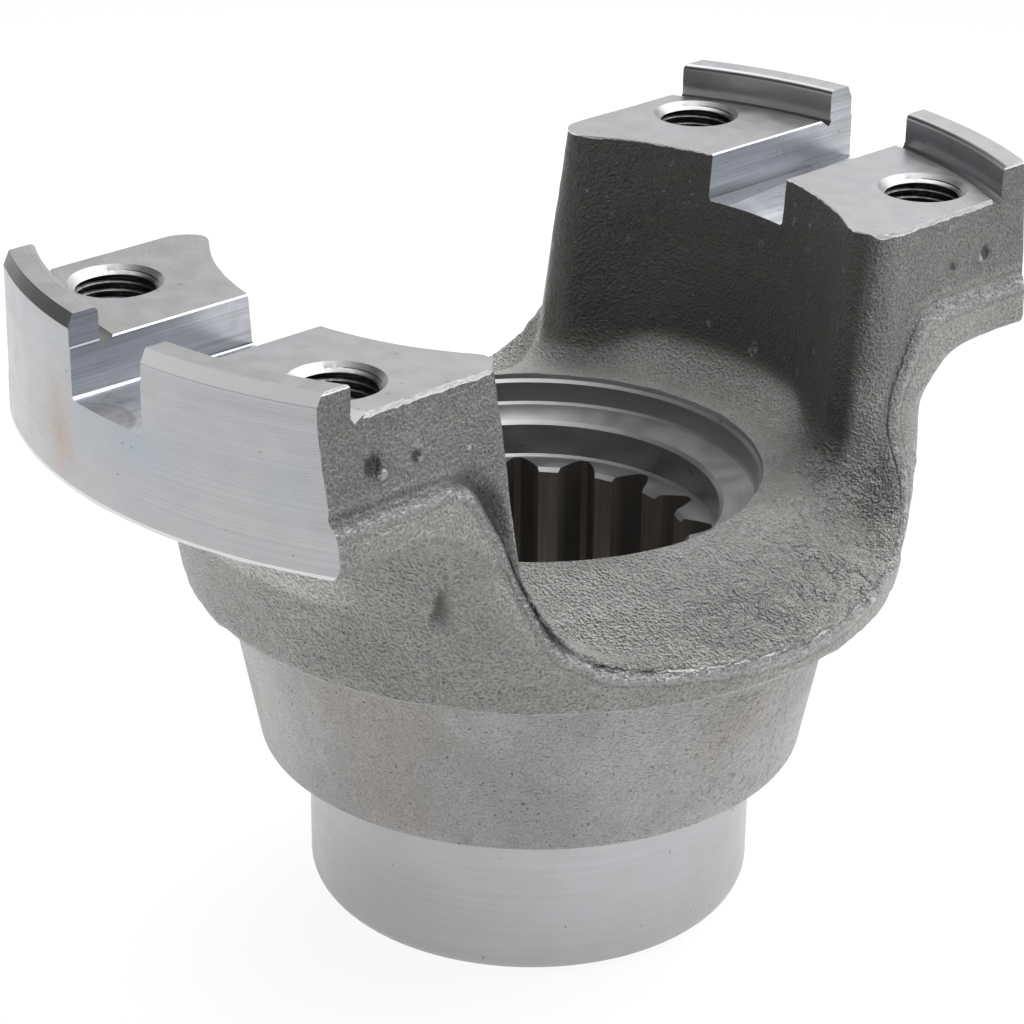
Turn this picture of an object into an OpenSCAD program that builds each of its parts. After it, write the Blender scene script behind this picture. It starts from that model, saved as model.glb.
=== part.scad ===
// Forged end yoke with keyed bearing pads and a splined bore.
// The yoke stands on the end face of its hub. Z points up along the bore axis,
// Y points from ear to ear and X runs along the bolt holes of one ear.
// All sizes are in millimetres and degrees.

/* [Bearing pads] */
// Height of the two bearing pads above the hub end face
pad_height = 108.2; // [106:0.1:114]
// Distance between the two threaded holes of one ear
hole_spacing = 49.2; // [44:0.1:52]
// Distance between the hole rows of the two ears
row_spacing = 118; // [114:0.1:122]
// Bore of the threaded holes at the thread crests
thread_bore_d = 11.5; // [10:0.1:13]
// Diameter of the countersink at the top of a threaded hole
countersink_d = 13.9; // [13.4:0.1:15]
// Depth drilled for a threaded hole
drill_depth = 28; // [25:0.5:31]
// Width of the keyway across each pad
key_width = 15.88; // [12:0.01:19]
// Depth of the keyway below the pad
key_depth = 7.6; // [5:0.1:10]
// Bevel on the long edges of the keyway
key_bevel = 0.25; // [0.1:0.05:0.5]
// Bevel in the floor corners of the keyway
key_root = 0.4; // [0.2:0.05:0.8]

/* [Ear lips] */
// Diameter between the two inner lip walls that hold the bearings
lip_wall_d = 148.4; // [147:0.1:150]
// Height of the lip above the pad
lip_height = 4.7; // [3:0.1:6]
// Diameter of the turned outer face of the ears
ear_face_d = 158.4; // [157:0.1:160]
// Height of the bevel on the outer edge of the lip
lip_bevel_h = 2; // [1:0.1:2.5]
// Radial width of the bevel on the outer edge of the lip
lip_bevel_w = 0.95; // [0.5:0.05:1.4]
// Radius on the inner edge of the lip
lip_edge_r = 0.9; // [0.4:0.1:1.2]
// Depth of the relief groove at the foot of the lip
groove_depth = 1.2; // [0.6:0.1:2]
// Radial width of the relief groove
groove_width = 2.3; // [1.6:0.1:3]

/* [Forged arms] */
// Width of an ear at the pad
ear_width = 69.6; // [66:0.1:74]
// Thickness of an ear from the pad to its underside
ear_thickness = 21.2; // [19:0.1:24]
// Draft of the ear sides
side_draft = 5.8; // [4:0.1:8]
// Fillet between the underside of an ear and its arm
underside_r = 6; // [4:0.5:8]
// Diameter of the round inner ear faces at the pad
cavity_d = 95.6; // [93:0.1:98]
// Draft of the inner ear faces
cavity_draft = 4.5; // [3:0.5:6]
// Fillet at the foot of the inner ear faces
foot_r = 10; // [7:0.5:11]
// Distance from the bore axis to the flat inner faces beside the round ones
corner_y = 37; // [35:0.5:39]
// Radius of the inner upright corners of the ears at the pad
corner_r = 5; // [3:0.5:6]
// Depth of the parting ledge below the pad
ledge_depth = 13.6; // [11:0.1:15]
// Width of the parting ledge on the ear sides
ledge_width = 1; // [0.6:0.1:2]

/* [Saddle and bowl] */
// Height of the saddle floor at the edge of the bore
floor_height = 70; // [68:0.1:71]
// Fall of the saddle floor toward its rim
floor_fall = 21; // [17:0.5:23]
// Height of the lower edge of the bowl
rim_height = 56.3; // [53:0.1:57]
// Diameter of the lower edge of the bowl
rim_d = 110; // [108:0.5:113]
// Draft of the bowl wall
bowl_draft = 10.5; // [8:0.5:12]

/* [Collar and hub] */
// Diameter of the collar where it leaves the bowl
collar_top_d = 96; // [94:0.1:100]
// Diameter of the lower end of the collar
collar_end_d = 86; // [82:0.1:90]
// Edge radius at the lower end of the collar
collar_edge_r = 0.8; // [0.4:0.1:2]
// Diameter of the turned hub
hub_d = 70.3; // [66:0.1:74]
// Length of the turned hub
hub_length = 26.9; // [22:0.1:30]
// Edge radius at the end of the hub
hub_edge_r = 3.8; // [2:0.1:4.5]

/* [Stepped bore] */
// Diameter of the wide counterbore in the saddle floor
seat_d = 68.6; // [66:0.1:69]
// Depth of the wide counterbore
seat_depth = 4.1; // [3:0.1:5]
// Bevel at the mouth of the wide counterbore
seat_bevel = 1; // [0.5:0.1:1.2]
// Diameter of the narrow counterbore above the spline
relief_d = 57.8; // [57.4:0.1:60]
// Height where the spline begins
spline_top = 59; // [56:0.1:61]
// Number of spline spaces
spline_count = 16; // [14:1:18]
// Diameter at the tips of the spline teeth
spline_tip_d = 47.6; // [46.8:0.1:48.6]
// Diameter at the roots of the spline spaces
spline_root_d = 56.4; // [55.6:0.1:57]
// Angle from the X axis to the middle of a spline space
spline_turn = 7; // [0:0.5:22]
// Pressure angle of the spline
spline_angle = 30; // [28:1:32]
// Bevel at both ends of the spline
spline_bevel = 0.7; // [0.4:0.1:1.2]

/* [View] */
// Piece to be drawn

/* [Hidden] */
$fn = 96;
eps = 0.02;
steel = [0.46, 0.45, 0.43];
lip_top = pad_height + lip_height;
wall_r = lip_wall_d / 2;
face_r = ear_face_d / 2;
row_y = row_spacing / 2;
side_x = ear_width / 2;
under_z = pad_height - ear_thickness;
part_z = pad_height - ledge_depth;
rim_r = rim_d / 2;
cav_r = cavity_d / 2;
stock_r = face_r + 3;
stock_z = lip_top + 3;
seat_r = seat_d / 2;
seat_z = floor_height - seat_depth;
relief_r = relief_d / 2;
flare_z = pad_height - 27;
flare_r = 8;
foot_z = floor_height + foot_r;
foot_x = cav_r - (pad_height - foot_z) * tan(cavity_draft);
pitch_d = (spline_tip_d + spline_root_d) / 2 - 1.2;
base_r = pitch_d / 2 * cos(spline_angle);

function arc(cx, cz, r, a0, a1, n) = [
    for (i = [0:n]) [cx + r * cos(a0 + (a1 - a0) * i / n), cz + r * sin(a0 + (a1 - a0) * i / n)]
];
function bowl_r(z) = rim_r + (z - rim_height) * tan(bowl_draft);
function half_w(z) = side_x + max(0, pad_height - z) * tan(side_draft);
function inv(a) = tan(a) * 180 / PI - a;
function space_a(r) = 90 / spline_count - inv(acos(base_r / r)) + inv(spline_angle);

// Outline of everything that is round about the bore axis, hub to ear face
module turned_outline() {
    fillet_z = under_z - underside_r;
    fillet_x = bowl_r(fillet_z) + underside_r / cos(bowl_draft);
    polygon(concat(
        [[0, 0]],
        arc(hub_d / 2 - hub_edge_r, hub_edge_r, hub_edge_r, 270, 360, 8),
        [[hub_d / 2, hub_length]],
        arc(collar_end_d / 2 - collar_edge_r, hub_length + collar_edge_r, collar_edge_r, 270, 350, 5),
        [[collar_top_d / 2, rim_height - 1.6]],
        [[rim_r - 0.4, rim_height - 0.4]],
        [[rim_r, rim_height]],
        arc(fillet_x, fillet_z, underside_r, 180 - bowl_draft, 90, 8),
        [[face_r, under_z]],
        [[face_r, lip_top - lip_bevel_h]],
        [[face_r - lip_bevel_w, lip_top]],
        [[0, lip_top]]
    ));
}

// Side flare that leads from an ear side down to the rim of the saddle
function flare(x0) = concat(
    arc(x0 + flare_r, flare_z, flare_r, 180, 212, 3),
    [[x0 + 8, flare_z - 13.8], [x0 + 10.5, flare_z - 16.6], [x0 + 15.5, flare_z - 19.2], [66, flare_z - 21]]
);

// Polygon from the points of its right side, mirrored to the left
module both_sides(pts) {
    polygon(concat(pts, [for (i = [len(pts) - 1:-1:0]) if (pts[i][0] > 0) [-pts[i][0], pts[i][1]]]));
}

// Width of the arms above the parting ledge, seen from the front
module upper_width() {
    both_sides([[side_x, stock_z + 1], [side_x, pad_height], [half_w(32), 32]]);
}

// Width of the arms below the parting ledge, seen from the front
module lower_width() {
    x0 = half_w(part_z);
    both_sides(concat(
        [[x0 - 4, part_z + 11.6], [x0 + ledge_width, part_z - 2.9 * ledge_width]],
        flare(x0 + ledge_width),
        [[67, 34]]
    ));
}

// Inner limit of the arms at their upright edges, seen from the side
module arm_profile() {
    y0 = corner_y;
    y1 = y0 - 28 * tan(cavity_draft);
    both_sides([
        [90, 36], [90, stock_z + 2], [y0, stock_z + 2], [y0, pad_height], [y1, flare_z - 2],
        [y1 - 1.6, flare_z - 9], [y1 - 4.6, flare_z - 13.6], [y1 - 10, flare_z - 16.6], [0, flare_z - 20]
    ]);
}

// Body below the parting line of the forging, seen from the side
module parting_profile() {
    both_sides([
        [92, 38], [92, part_z], [50, part_z], [46.8, part_z - 0.4], [44.4, part_z - 2],
        [42.6, part_z - 4.6], [39.3, part_z - 11.6], [37.6, part_z - 16.6],
        [36.6, part_z - 21], [35.2, part_z - 25], [32.6, part_z - 28.2],
        [28, part_z - 30.3], [17, part_z - 32], [0, part_z - 33.4]
    ]);
}

module along_y() {
    rotate([90, 0, 0])
        translate([0, 0, -100])
            linear_extrude(200)
                children();
}

module along_x() {
    rotate([90, 0, 90])
        translate([0, 0, -100])
            linear_extrude(200)
                children();
}

// Saddle floor between the arms with its fall toward the rim
module saddle() {
    rotate_extrude()
        polygon([
            [0, -4], [stock_r, -4],
            [stock_r, floor_height - (stock_r - seat_r - 1) * tan(floor_fall)],
            [seat_r + 1, floor_height], [0, floor_height]
        ]);
}

// Space between the ears with drafted walls and foot fillets
module cavity() {
    rotate_extrude()
        polygon(concat(
            [[0, floor_height]],
            arc(foot_x - foot_r, foot_z, foot_r, 270, 360, 9),
            [[cav_r, pad_height], [cav_r, stock_z + 5], [0, stock_z + 5]]
        ));
}

// Cutter that rounds an upright inner corner of an ear and fades out toward the foot
module corner_cutter() {
    x0 = side_x - corner_r;
    y0 = corner_y + corner_r;
    translate([x0, y0, pad_height])
        rotate([-7, -10, 0])
            translate([0, 0, -30])
                linear_extrude(50)
                    difference() {
                        translate([0, -corner_r - 12])
                            square([corner_r + 12, corner_r + 12]);
                        circle(corner_r);
                    }
}

// Rough forging before any machining
module forging() {
    difference() {
        intersection() {
            rotate_extrude()
                turned_outline();
            union() {
                saddle();
                intersection() {
                    along_y()
                        upper_width();
                    along_x()
                        arm_profile();
                }
                intersection() {
                    along_y()
                        lower_width();
                    along_x()
                        parting_profile();
                }
            }
        }
        cavity();
        for (mx = [0, 1])
            for (my = [0, 1])
                mirror([mx, 0, 0])
                    mirror([0, my, 0])
                        corner_cutter();
    }
}

// Stock turned off inside the lips to leave pads, relief grooves and lip walls
module pad_turning() {
    rotate_extrude()
        polygon(concat(
            [[0, pad_height], [wall_r - groove_width, pad_height]],
            [[wall_r - 0.5, pad_height - groove_depth], [wall_r, pad_height - 0.4]],
            arc(wall_r + lip_edge_r, lip_top - lip_edge_r, lip_edge_r, 180, 90, 4),
            [[wall_r + lip_edge_r, stock_z], [0, stock_z]]
        ));
}

// Keyway across both pads
module keyway() {
    h = key_width / 2;
    floor_z = pad_height - key_depth;
    along_y()
        polygon([
            [-h, floor_z + key_root], [-h + key_root, floor_z],
            [h - key_root, floor_z], [h, floor_z + key_root],
            [h, pad_height - key_bevel], [h + key_bevel, pad_height],
            [h + key_bevel, stock_z + 5], [-h - key_bevel, stock_z + 5],
            [-h - key_bevel, pad_height], [-h, pad_height - key_bevel]
        ]);
}

// Drilled and countersunk hole for one bearing bolt
module bolt_hole() {
    sink = (countersink_d - thread_bore_d) / 2;
    tip = thread_bore_d / 2 * tan(31);
    rotate_extrude()
        polygon([
            [0, pad_height - drill_depth - tip], [thread_bore_d / 2, pad_height - drill_depth],
            [thread_bore_d / 2, pad_height - sink], [countersink_d / 2, pad_height],
            [countersink_d / 2, stock_z + 5], [0, stock_z + 5]
        ]);
}

// Internal spline with involute flanks and rounded roots
module spline_section() {
    step = 360 / spline_count;
    tip_r = spline_tip_d / 2;
    root_r = spline_root_d / 2;
    form_r = root_r - 0.7;
    radii = [tip_r, (2 * tip_r + form_r) / 3, (tip_r + 2 * form_r) / 3, form_r];
    half = concat([for (r = radii) [r, space_a(r)]], [[root_r, space_a(form_r) * 0.45]]);
    polygon([
        for (i = [0:spline_count - 1])
            for (j = [0:9])
                let (
                    p = half[j < 5 ? j : 9 - j],
                    a = i * step + (j < 5 ? -p[1] : p[1])
                )
                [p[0] * cos(a), p[0] * sin(a)]
    ]);
}

// Stepped bore from the saddle floor to the hub end face
module bore() {
    rotate_extrude()
        polygon([
            [0, spline_top], [relief_r - 0.4, spline_top], [relief_r, spline_top + 0.4],
            [relief_r, seat_z - 1.4], [relief_r + 0.6, seat_z - 0.8], [seat_r - 0.4, seat_z - 0.1],
            [seat_r, seat_z + 0.3], [seat_r, floor_height - seat_bevel],
            [seat_r + seat_bevel + 2, floor_height + 2], [0, floor_height + 2]
        ]);
    translate([0, 0, -1])
        rotate([0, 0, spline_turn])
            linear_extrude(spline_top + 1 + eps)
                spline_section();
    translate([0, 0, spline_top - spline_bevel])
        cylinder(h = spline_bevel + eps, r1 = spline_tip_d / 2, r2 = spline_tip_d / 2 + spline_bevel);
    translate([0, 0, -eps])
        cylinder(h = 3 + eps, r1 = spline_root_d / 2 + 1, r2 = spline_root_d / 2 - 2);
}

module yoke() {
    color(steel)
        difference() {
            forging();
            pad_turning();
            keyway();
            for (sx = [-1, 1])
                for (sy = [-1, 1])
                    translate([sx * hole_spacing / 2, sy * row_y, 0])
                        bolt_hole();
            bore();
        }
}

yoke();
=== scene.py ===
"""Looks of a forged yoke: rough forging with machined pads, ear faces, bore and hub.

The forging is a distance field in millimetres, turned into a mesh and given its
forged surface. Machining cutters with the sizes of the CAD part then cut it, so
each cut face carries the finish of the tool that made it.
"""

import itertools
import math

import bpy
import numpy as np
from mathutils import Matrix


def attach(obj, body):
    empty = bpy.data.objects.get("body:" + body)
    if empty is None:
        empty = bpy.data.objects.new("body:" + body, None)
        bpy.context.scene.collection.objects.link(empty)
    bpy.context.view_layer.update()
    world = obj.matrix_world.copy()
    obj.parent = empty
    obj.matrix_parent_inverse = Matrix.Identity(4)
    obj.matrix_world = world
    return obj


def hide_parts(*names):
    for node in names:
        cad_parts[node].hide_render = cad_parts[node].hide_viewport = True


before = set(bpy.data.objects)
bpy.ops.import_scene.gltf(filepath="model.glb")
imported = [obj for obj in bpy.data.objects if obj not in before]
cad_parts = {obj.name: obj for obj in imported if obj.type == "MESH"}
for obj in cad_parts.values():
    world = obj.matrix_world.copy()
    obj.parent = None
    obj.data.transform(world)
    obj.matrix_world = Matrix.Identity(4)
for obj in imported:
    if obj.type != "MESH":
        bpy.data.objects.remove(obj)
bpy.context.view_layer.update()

import openvdb
from mathutils import Matrix, Vector

MM = 0.001
VOXEL = 0.9  # mesh width of the forging, mm

# Sizes of the part, mm and degrees. The seat follows the photograph closer than the part's source,
# the foot leaves room for the shift of the cavity, and all others are within 0.1 mm of the source.
PAD_Z = 108.2
LIP_TOP = 112.9
FACE_R = 79.2
LIP_WALL_R = 74.2
LIP_BEVEL_H = 2.0
LIP_BEVEL_W = 0.95
LIP_EDGE_R = 0.9
GROOVE_DEPTH = 1.2
GROOVE_W = 2.3
GROOVE_CORNER_W = 0.5
GROOVE_CORNER_H = 0.8
HOLE_X = 24.6
HOLE_Y = 59.0
THREAD_CREST_R = 5.75
THREAD_ROOT_R = 6.3
THREAD_PITCH = 1.27
THREAD_DEPTH = 26.0
SINK_R = 6.95
DRILL_DEPTH = 28.0
DRILL_TIP_ANGLE = 31.0
KEY_W = 15.88
KEY_DEPTH = 7.6
KEY_BEVEL = 0.2
KEY_ROOT = 0.4
EAR_HALF_W = 34.8
SIDE_DRAFT = 5.8
UNDER_Z = 87.0
UNDER_R = 6.0
PART_Z = 94.6
LEDGE_W = 1.0
CAVITY_R = 47.8
CAVITY_DRAFT = 4.5
CORNER_Y = 37.0
CORNER_R = 5.0
FOOT_R = 9.0
FLOOR_Z = 70.0
FLOOR_FALL = 21.0
RIM_Z = 56.3
RIM_R = 55.0
BOWL_DRAFT = 10.5
COLLAR_TOP_R = 48.1
COLLAR_TOP_Z = 54.7
COLLAR_END_R = 42.9
COLLAR_EDGE_R = 0.8
HUB_R = 35.15
HUB_LENGTH = 26.9
HUB_EDGE_R = 3.8
SEAT_R = 34.75
SEAT_Z = 65.9
SEAT_BEVEL = 0.5
SEAT_CORNER = 0.4
SEAT_EDGE = 0.6
SEAT_OUTER_DROP = 0.1
SEAT_INNER_DROP = 0.8
MOUTH_FLARE = 0.6
RELIEF_R = 28.9
RELIEF_CORNER = 0.4
SPLINE_TOP = 59.0
SPLINE_COUNT = 16
SPLINE_TIP_R = 23.8
SPLINE_PITCH_R = 25.4
SPLINE_FORM_R = 27.5
SPLINE_ROOT_R = 28.2
SPLINE_ROOT_SHARE = 0.45
SPLINE_ANGLE = 30.0
SPLINE_TURN = 7.0
SPLINE_BEVEL = 0.6
HUB_BEVEL = 3.0
HUB_BEVEL_OUT = 1.0
HUB_BEVEL_FLARE = 0.6

# Shift of the forging against the machined axis, as forgings have it, mm
BODY_SHIFT = (0.85, 0.9)
ARM_SHIFT_X = 0.4
CAVITY_SHIFT = (0.3, -1.2)
FLAT_SHIFT_Y = 0.6 * CAVITY_SHIFT[1]

# Stock that the forging has before it is machined, mm
EAR_STOCK_R = 95.0
HUB_STOCK_R = 50.5
HUB_STOCK_END = -2.0
HUB_STOCK_TOP = 57.0
STOCK_LOW = np.array([-62.0, -86.0, -5.0])
STOCK_HIGH = np.array([62.0, 86.0, 118.0])
STOCK_MARGIN = 2.0

# Saddle: where its slope begins outside the seat, its slope and its curve
SADDLE_START = 1.0
SADDLE_SLOPE = 0.30
SADDLE_CURVE = 0.0045

# Rounded edges and hollows of the forging, mm
RIM_EDGE_R = 0.5
CAVITY_EDGE_R = 1.2
SIDE_FOOT_R = 2.5
LEDGE_EDGE_R = 0.7
LEDGE_FOOT_R = 0.9
LOWER_EDGE_R = 1.0
BOWL_EDGE_R = 0.8
UPPER_ARM_BLEND = 4.0
LOWER_ARM_BLEND = 3.0
STOCK_EDGE_R = 1.0
FLARE_TRUE = 0.9  # brings the distance to the flare near its true value

# Crease above the parting ledge: |x|, |y|, z on one quarter of the body
CREASE = np.array([
    (36.6, 80, 94.9), (36.5, 50.6, 95), (36.5, 46, 94.1), (37, 43.5, 91.2), (38, 39, 83.2),
    (38.7, 37.6, 78.6), (41, 37, 74.5), (43.5, 36.1, 70.5), (45.5, 34.9, 67.7), (47.6, 31.4, 65.2),
    (50.4, 27, 63.6), (54.2, 17.6, 62.9), (56, 11.9, 62.2), (57, 6, 61.6), (57.3, 0, 61.3),
])
SEAM_REACH = 7.0  # farther off, only the side of the parting line counts
SEAM_FAR = 12.0
INSIDE_R = 52.0  # the walls between the ears lie inside this radius, above INSIDE_Z
INSIDE_Z = 66.0

# Dents on the ear sides, and the metal raised beside them, which has a negative depth; the finish
# paints shade in the dents and a highlight on the raised metal: place, radius and depth in mm
DENTS = [
    ((36.0, -62.2, 100.4), 1.7, 1.1), ((36.2, -60.9, 98.9), 0.9, -0.7),
    ((36.1, -54.8, 99.8), 0.9, 0.55), ((36.2, -54.2, 99.2), 0.5, -0.3),
    ((36.2, -45.6, 98.4), 0.45, -0.15), ((36.0, 61.4, 100.0), 1.3, 0.7),
    ((36.1, 60.2, 99.4), 0.7, -0.4), ((36.1, 53.6, 99.7), 0.8, 0.5),
]

# Cutters: how far they reach past the faces that they enter, mm
OVERRUN = 4.0
KEY_REACH = 90.0
SPLINE_OVERRUN = 0.5
HUB_OVERRUN = 1.0
THREAD_POINT = 0.5

# Thread form over one pitch: share of the pitch, radius
THREAD_FORM = [(0.0, THREAD_CREST_R), (0.18, THREAD_CREST_R), (0.52, THREAD_ROOT_R), (0.66, THREAD_ROOT_R)]
THREAD_TURNS = 20

# Angles between faces above which an edge is shaded sharp, anywhere and on cut faces, degrees
SHARP_ANGLE = 32.0
MACHINED_SHARP_ANGLE = 24.0

# Mark that the end mill left on the floor of the near keyway: its centre and two rings, mm
MILL_MARK = (-0.5, -82.0, 0)
MILL_MARK_R = 7.0
MILL_MARK_INNER_R = 5.6

# Camera fitted to the photograph, image taken as 1024 by 1024
IMAGE_PX = 1024
SENSOR_W = 36
FOCAL_PX = 3201.471
CAM_AZ = math.radians(47.28321)
CAM_EL = math.radians(24.94949)
CAM_ROLL = math.radians(0.55644)
CAM_TX, CAM_TY, CAM_DIST = 3.56554, 41.67979, 476.76029
CAM_CLIP = (0.01, 10)

# White floor: its radius in metres, its colour, and how much of it glows evenly
TABLE_R = 0.5
TABLE_COLOR = (0.93, 0.93, 0.935, 1)
GLOW_STRENGTH = 1.06
GLOW_SHARE = 0.60
GLOW_SHARE_SEEN = 0.26  # added where the camera sees the floor

# Studio light: the even part, then soft lobes with their direction, the cosine where each fades
# out and where it is full, its radiance, and the height where it begins and ends to fade
SKY_BASE = 0.07
STUDIO_LOBES = [
    ((-0.02, 0.42, 0.90), 0.57, 0.95, 4.0, None, None),
    ((-0.69, 0.64, 0.05), 0.50, 0.90, 0.90, 0.20, 0.60),
    ((-0.35, -0.93, 0.00), 0.68, 0.92, 0.80, 0.15, 0.32),
    ((-0.93, -0.30, 0.00), 0.60, 0.92, 0.60, 0.10, 0.28),
]


# Distance field

def tan(deg):
    return math.tan(math.radians(deg))


def cos(deg):
    return math.cos(math.radians(deg))


def round_union(a, b, r):
    """Where a or b is inside, with the shared hollow rounded to r."""
    return np.maximum(r, np.minimum(a, b)) - np.hypot(np.maximum(r - a, 0), np.maximum(r - b, 0))


def round_cut(a, b, r):
    """Where both a and b are inside, with the shared edge rounded to r."""
    return np.minimum(-r, np.maximum(a, b)) + np.hypot(np.maximum(r + a, 0), np.maximum(r + b, 0))


def smooth(a, b, t):
    """Smooth step from 0 at a to 1 at b."""
    s = np.clip((t - a) / (b - a), 0, 1)
    return s * s * (3 - 2 * s)


def profile(t, pts):
    """Piecewise linear value at t through points (t, value)."""
    pts = sorted(pts)
    return np.interp(t, [p[0] for p in pts], [p[1] for p in pts])


def part_line(ay):
    """Height of the parting line at |y|, mm."""
    return profile(ay, [
        (0, 61.2), (17, 62.6), (28, 64.3), (32.6, 66.4), (35.2, 69.6), (36.6, 73.6), (37.6, 78),
        (39.3, 83), (42.6, 90), (44.4, 92.6), (46.8, 94.2), (50, PART_Z), (92, PART_Z),
    ])


def part_slope(ay):
    """Share of the height above the parting line that is true distance to it, at |y|."""
    return profile(ay, [
        (0, 1), (28, 0.93), (33, 0.72), (35, 0.5), (37, 0.3), (40, 0.42), (44, 0.62), (47, 0.9), (50, 1),
    ])


def flare_half_width(z):
    """Half width of the body below the parting line, flaring out toward the rim, mm."""
    x0 = EAR_HALF_W + (PAD_Z - PART_Z) * tan(SIDE_DRAFT) + LEDGE_W
    return profile(z, [
        (PART_Z + 11.6, x0 - 5), (PART_Z - 2.9, x0), (81.2, x0), (79, x0 + 0.3), (77, x0 + 1.2),
        (72, x0 + 4.7), (67.4, x0 + 8), (64.6, x0 + 10.5), (62, x0 + 15.5), (60.2, x0 + 29),
    ])


def forging_field(x, y, z):
    """Signed distance to the rough forging, negative inside, mm."""
    ax = np.abs(x - ARM_SHIFT_X)
    ay = np.abs(y)
    body_r = np.hypot(x - BODY_SHIFT[0], y - BODY_SHIFT[1])
    inner_r = np.hypot(x - CAVITY_SHIFT[0], y - CAVITY_SHIFT[1])
    inner_y = np.abs(y - FLAT_SHIFT_Y)
    below_pad = np.maximum(0, PAD_Z - z)

    # bowl wall and ear underside
    bowl = (body_r - (RIM_R + (z - RIM_Z) * tan(BOWL_DRAFT))) * cos(BOWL_DRAFT)
    ears = np.maximum(UNDER_Z - z, body_r - EAR_STOCK_R)
    envelope = round_union(bowl, ears, UNDER_R)
    envelope = round_cut(envelope, RIM_Z - z, RIM_EDGE_R)
    hub_stock = np.maximum(body_r - HUB_STOCK_R, HUB_STOCK_END - z)

    # drafted ear sides and inner faces above the parting line
    side = (ax - (EAR_HALF_W + below_pad * tan(SIDE_DRAFT))) * cos(SIDE_DRAFT)
    wall = CAVITY_R - below_pad * tan(CAVITY_DRAFT) - inner_r
    flat = CORNER_Y - below_pad * tan(CAVITY_DRAFT) - inner_y
    inner = round_cut(wall, flat, CAVITY_EDGE_R)
    fall = np.maximum(0, body_r - SEAT_R - SADDLE_START)
    saddle = (z - (FLOOR_Z - SADDLE_SLOPE * fall - SADDLE_CURVE * fall ** 2)) * cos(FLOOR_FALL)
    arms = round_union(inner, saddle, FOOT_R)
    arms = round_cut(arms, side, CORNER_R)
    upper = round_union(arms, saddle, SIDE_FOOT_R)

    # flared body below the parting line
    flare_side = (ax - flare_half_width(z)) * FLARE_TRUE
    lower = round_cut(flare_side, (z - part_line(ay)) * part_slope(ay), LEDGE_EDGE_R)
    lower = round_cut(lower, round_union(wall, saddle, FOOT_R), LOWER_EDGE_R)

    # both halves meet the bowl with a wider edge where the arms stand
    on_arm = smooth(30, 38, ay) * (1 - smooth(78, 85, z))
    top = round_cut(upper, envelope, BOWL_EDGE_R + UPPER_ARM_BLEND * on_arm)
    bottom = round_cut(lower, envelope, BOWL_EDGE_R + LOWER_ARM_BLEND * on_arm)
    body = round_union(top, bottom, LEDGE_FOOT_R)
    return np.minimum(body, round_cut(hub_stock, z - HUB_STOCK_TOP, STOCK_EDGE_R))


def outward(p, step=0.4):
    """Unit normals of the field at points p."""
    grad = []
    for k in range(3):
        d = np.zeros(3)
        d[k] = step
        grad.append(forging_field(*(p + d).T) - forging_field(*(p - d).T))
    n = np.stack(grad, axis=1)
    return n / np.maximum(np.linalg.norm(n, axis=1), 1e-9)[:, None]


def noise(p, scale, seed):
    """Smooth value noise from -1 to 1 at points p, features about 1/scale wide."""
    q = p * scale + seed * 17.31
    cell = np.floor(q).astype(np.int64)
    f = q - cell
    f = f * f * (3 - 2 * f)
    primes = (73856093, 19349663, 83492791)
    low_bits = 0xFFFFFF
    total = np.zeros(len(p))
    for corner in itertools.product((0, 1), repeat=3):
        h = 0
        weight = 1
        for axis, step in enumerate(corner):
            h = h ^ (cell[:, axis] + step) * primes[axis]
            weight = weight * (f[:, axis] if step else 1 - f[:, axis])
        h = (h * 2654435761 + seed * 97) & low_bits
        h = (h ^ (h >> 11)) * 1274126177 & low_bits
        value = h / (low_bits // 2) - 1
        total += value * weight
    return total


# Skin of the forging

def radius_of(p):
    """Distance of points p from the hub axis, mm."""
    return np.hypot(p[:, 0], p[:, 1])


def angle_of(p):
    """Angle of points p around the hub axis, degrees from +X."""
    return np.degrees(np.arctan2(p[:, 1], p[:, 0]))


def fold(p):
    """Points mirrored onto the quarter that holds the crease, and the signs that mirror them."""
    centred = p - np.array([ARM_SHIFT_X, 0, 0])
    flip = np.where(centred < 0, -1.0, 1.0)
    flip[:, 2] = 1
    return centred * flip, flip


def crease_stretches(q):
    """Each stretch of the crease: its unit direction and how points q lie off it."""
    for a, b in zip(CREASE[:-1], CREASE[1:]):
        ab = b - a
        t = np.clip(((q - a) @ ab) / (ab @ ab), 0, 1)
        yield ab / np.linalg.norm(ab), q - a - t[:, None] * ab


def crease_distance(p):
    """Distance of points p from the crease, mm."""
    q, _ = fold(p)
    return np.min([np.linalg.norm(off, axis=1) for _, off in crease_stretches(q)], axis=0)


def seam_distance(p, normal):
    """Distance from the crease along the surface, above it positive, mm."""
    q, flip = fold(p)
    n = normal * flip
    best = np.full(len(p), 1e9)
    value = np.zeros(len(p))
    for direction, off in crease_stretches(q):
        dist = np.linalg.norm(off, axis=1)
        across = np.cross(direction, n)
        across /= np.maximum(np.linalg.norm(across, axis=1), 1e-6)[:, None]
        side = np.einsum("ij,ij->i", off, across)
        nearer = dist < best
        best = np.where(nearer, dist, best)
        value = np.where(nearer, side, value)
    far = best > SEAM_REACH
    inside = (radius_of(q) < INSIDE_R) & (q[:, 2] > INSIDE_Z)
    value[far] = np.where(inside | (q[:, 2] > part_line(q[:, 1])), SEAM_FAR, -SEAM_FAR)[far]
    return value


def scaly_mask(p):
    """Where the saddle is wrinkled by scale: toward the rim on the far side."""
    angle = angle_of(p)
    height = p[:, 2]
    on_saddle = smooth(38, 47, radius_of(p)) * (1 - smooth(71, 76, height)) * smooth(59, 62, height)
    side = smooth(-25, 5, angle) * (1 - smooth(70, 95, angle))
    other = smooth(150, 175, np.abs(angle))
    return np.clip(on_saddle * (side + 0.6 * other), 0, 1)


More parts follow.
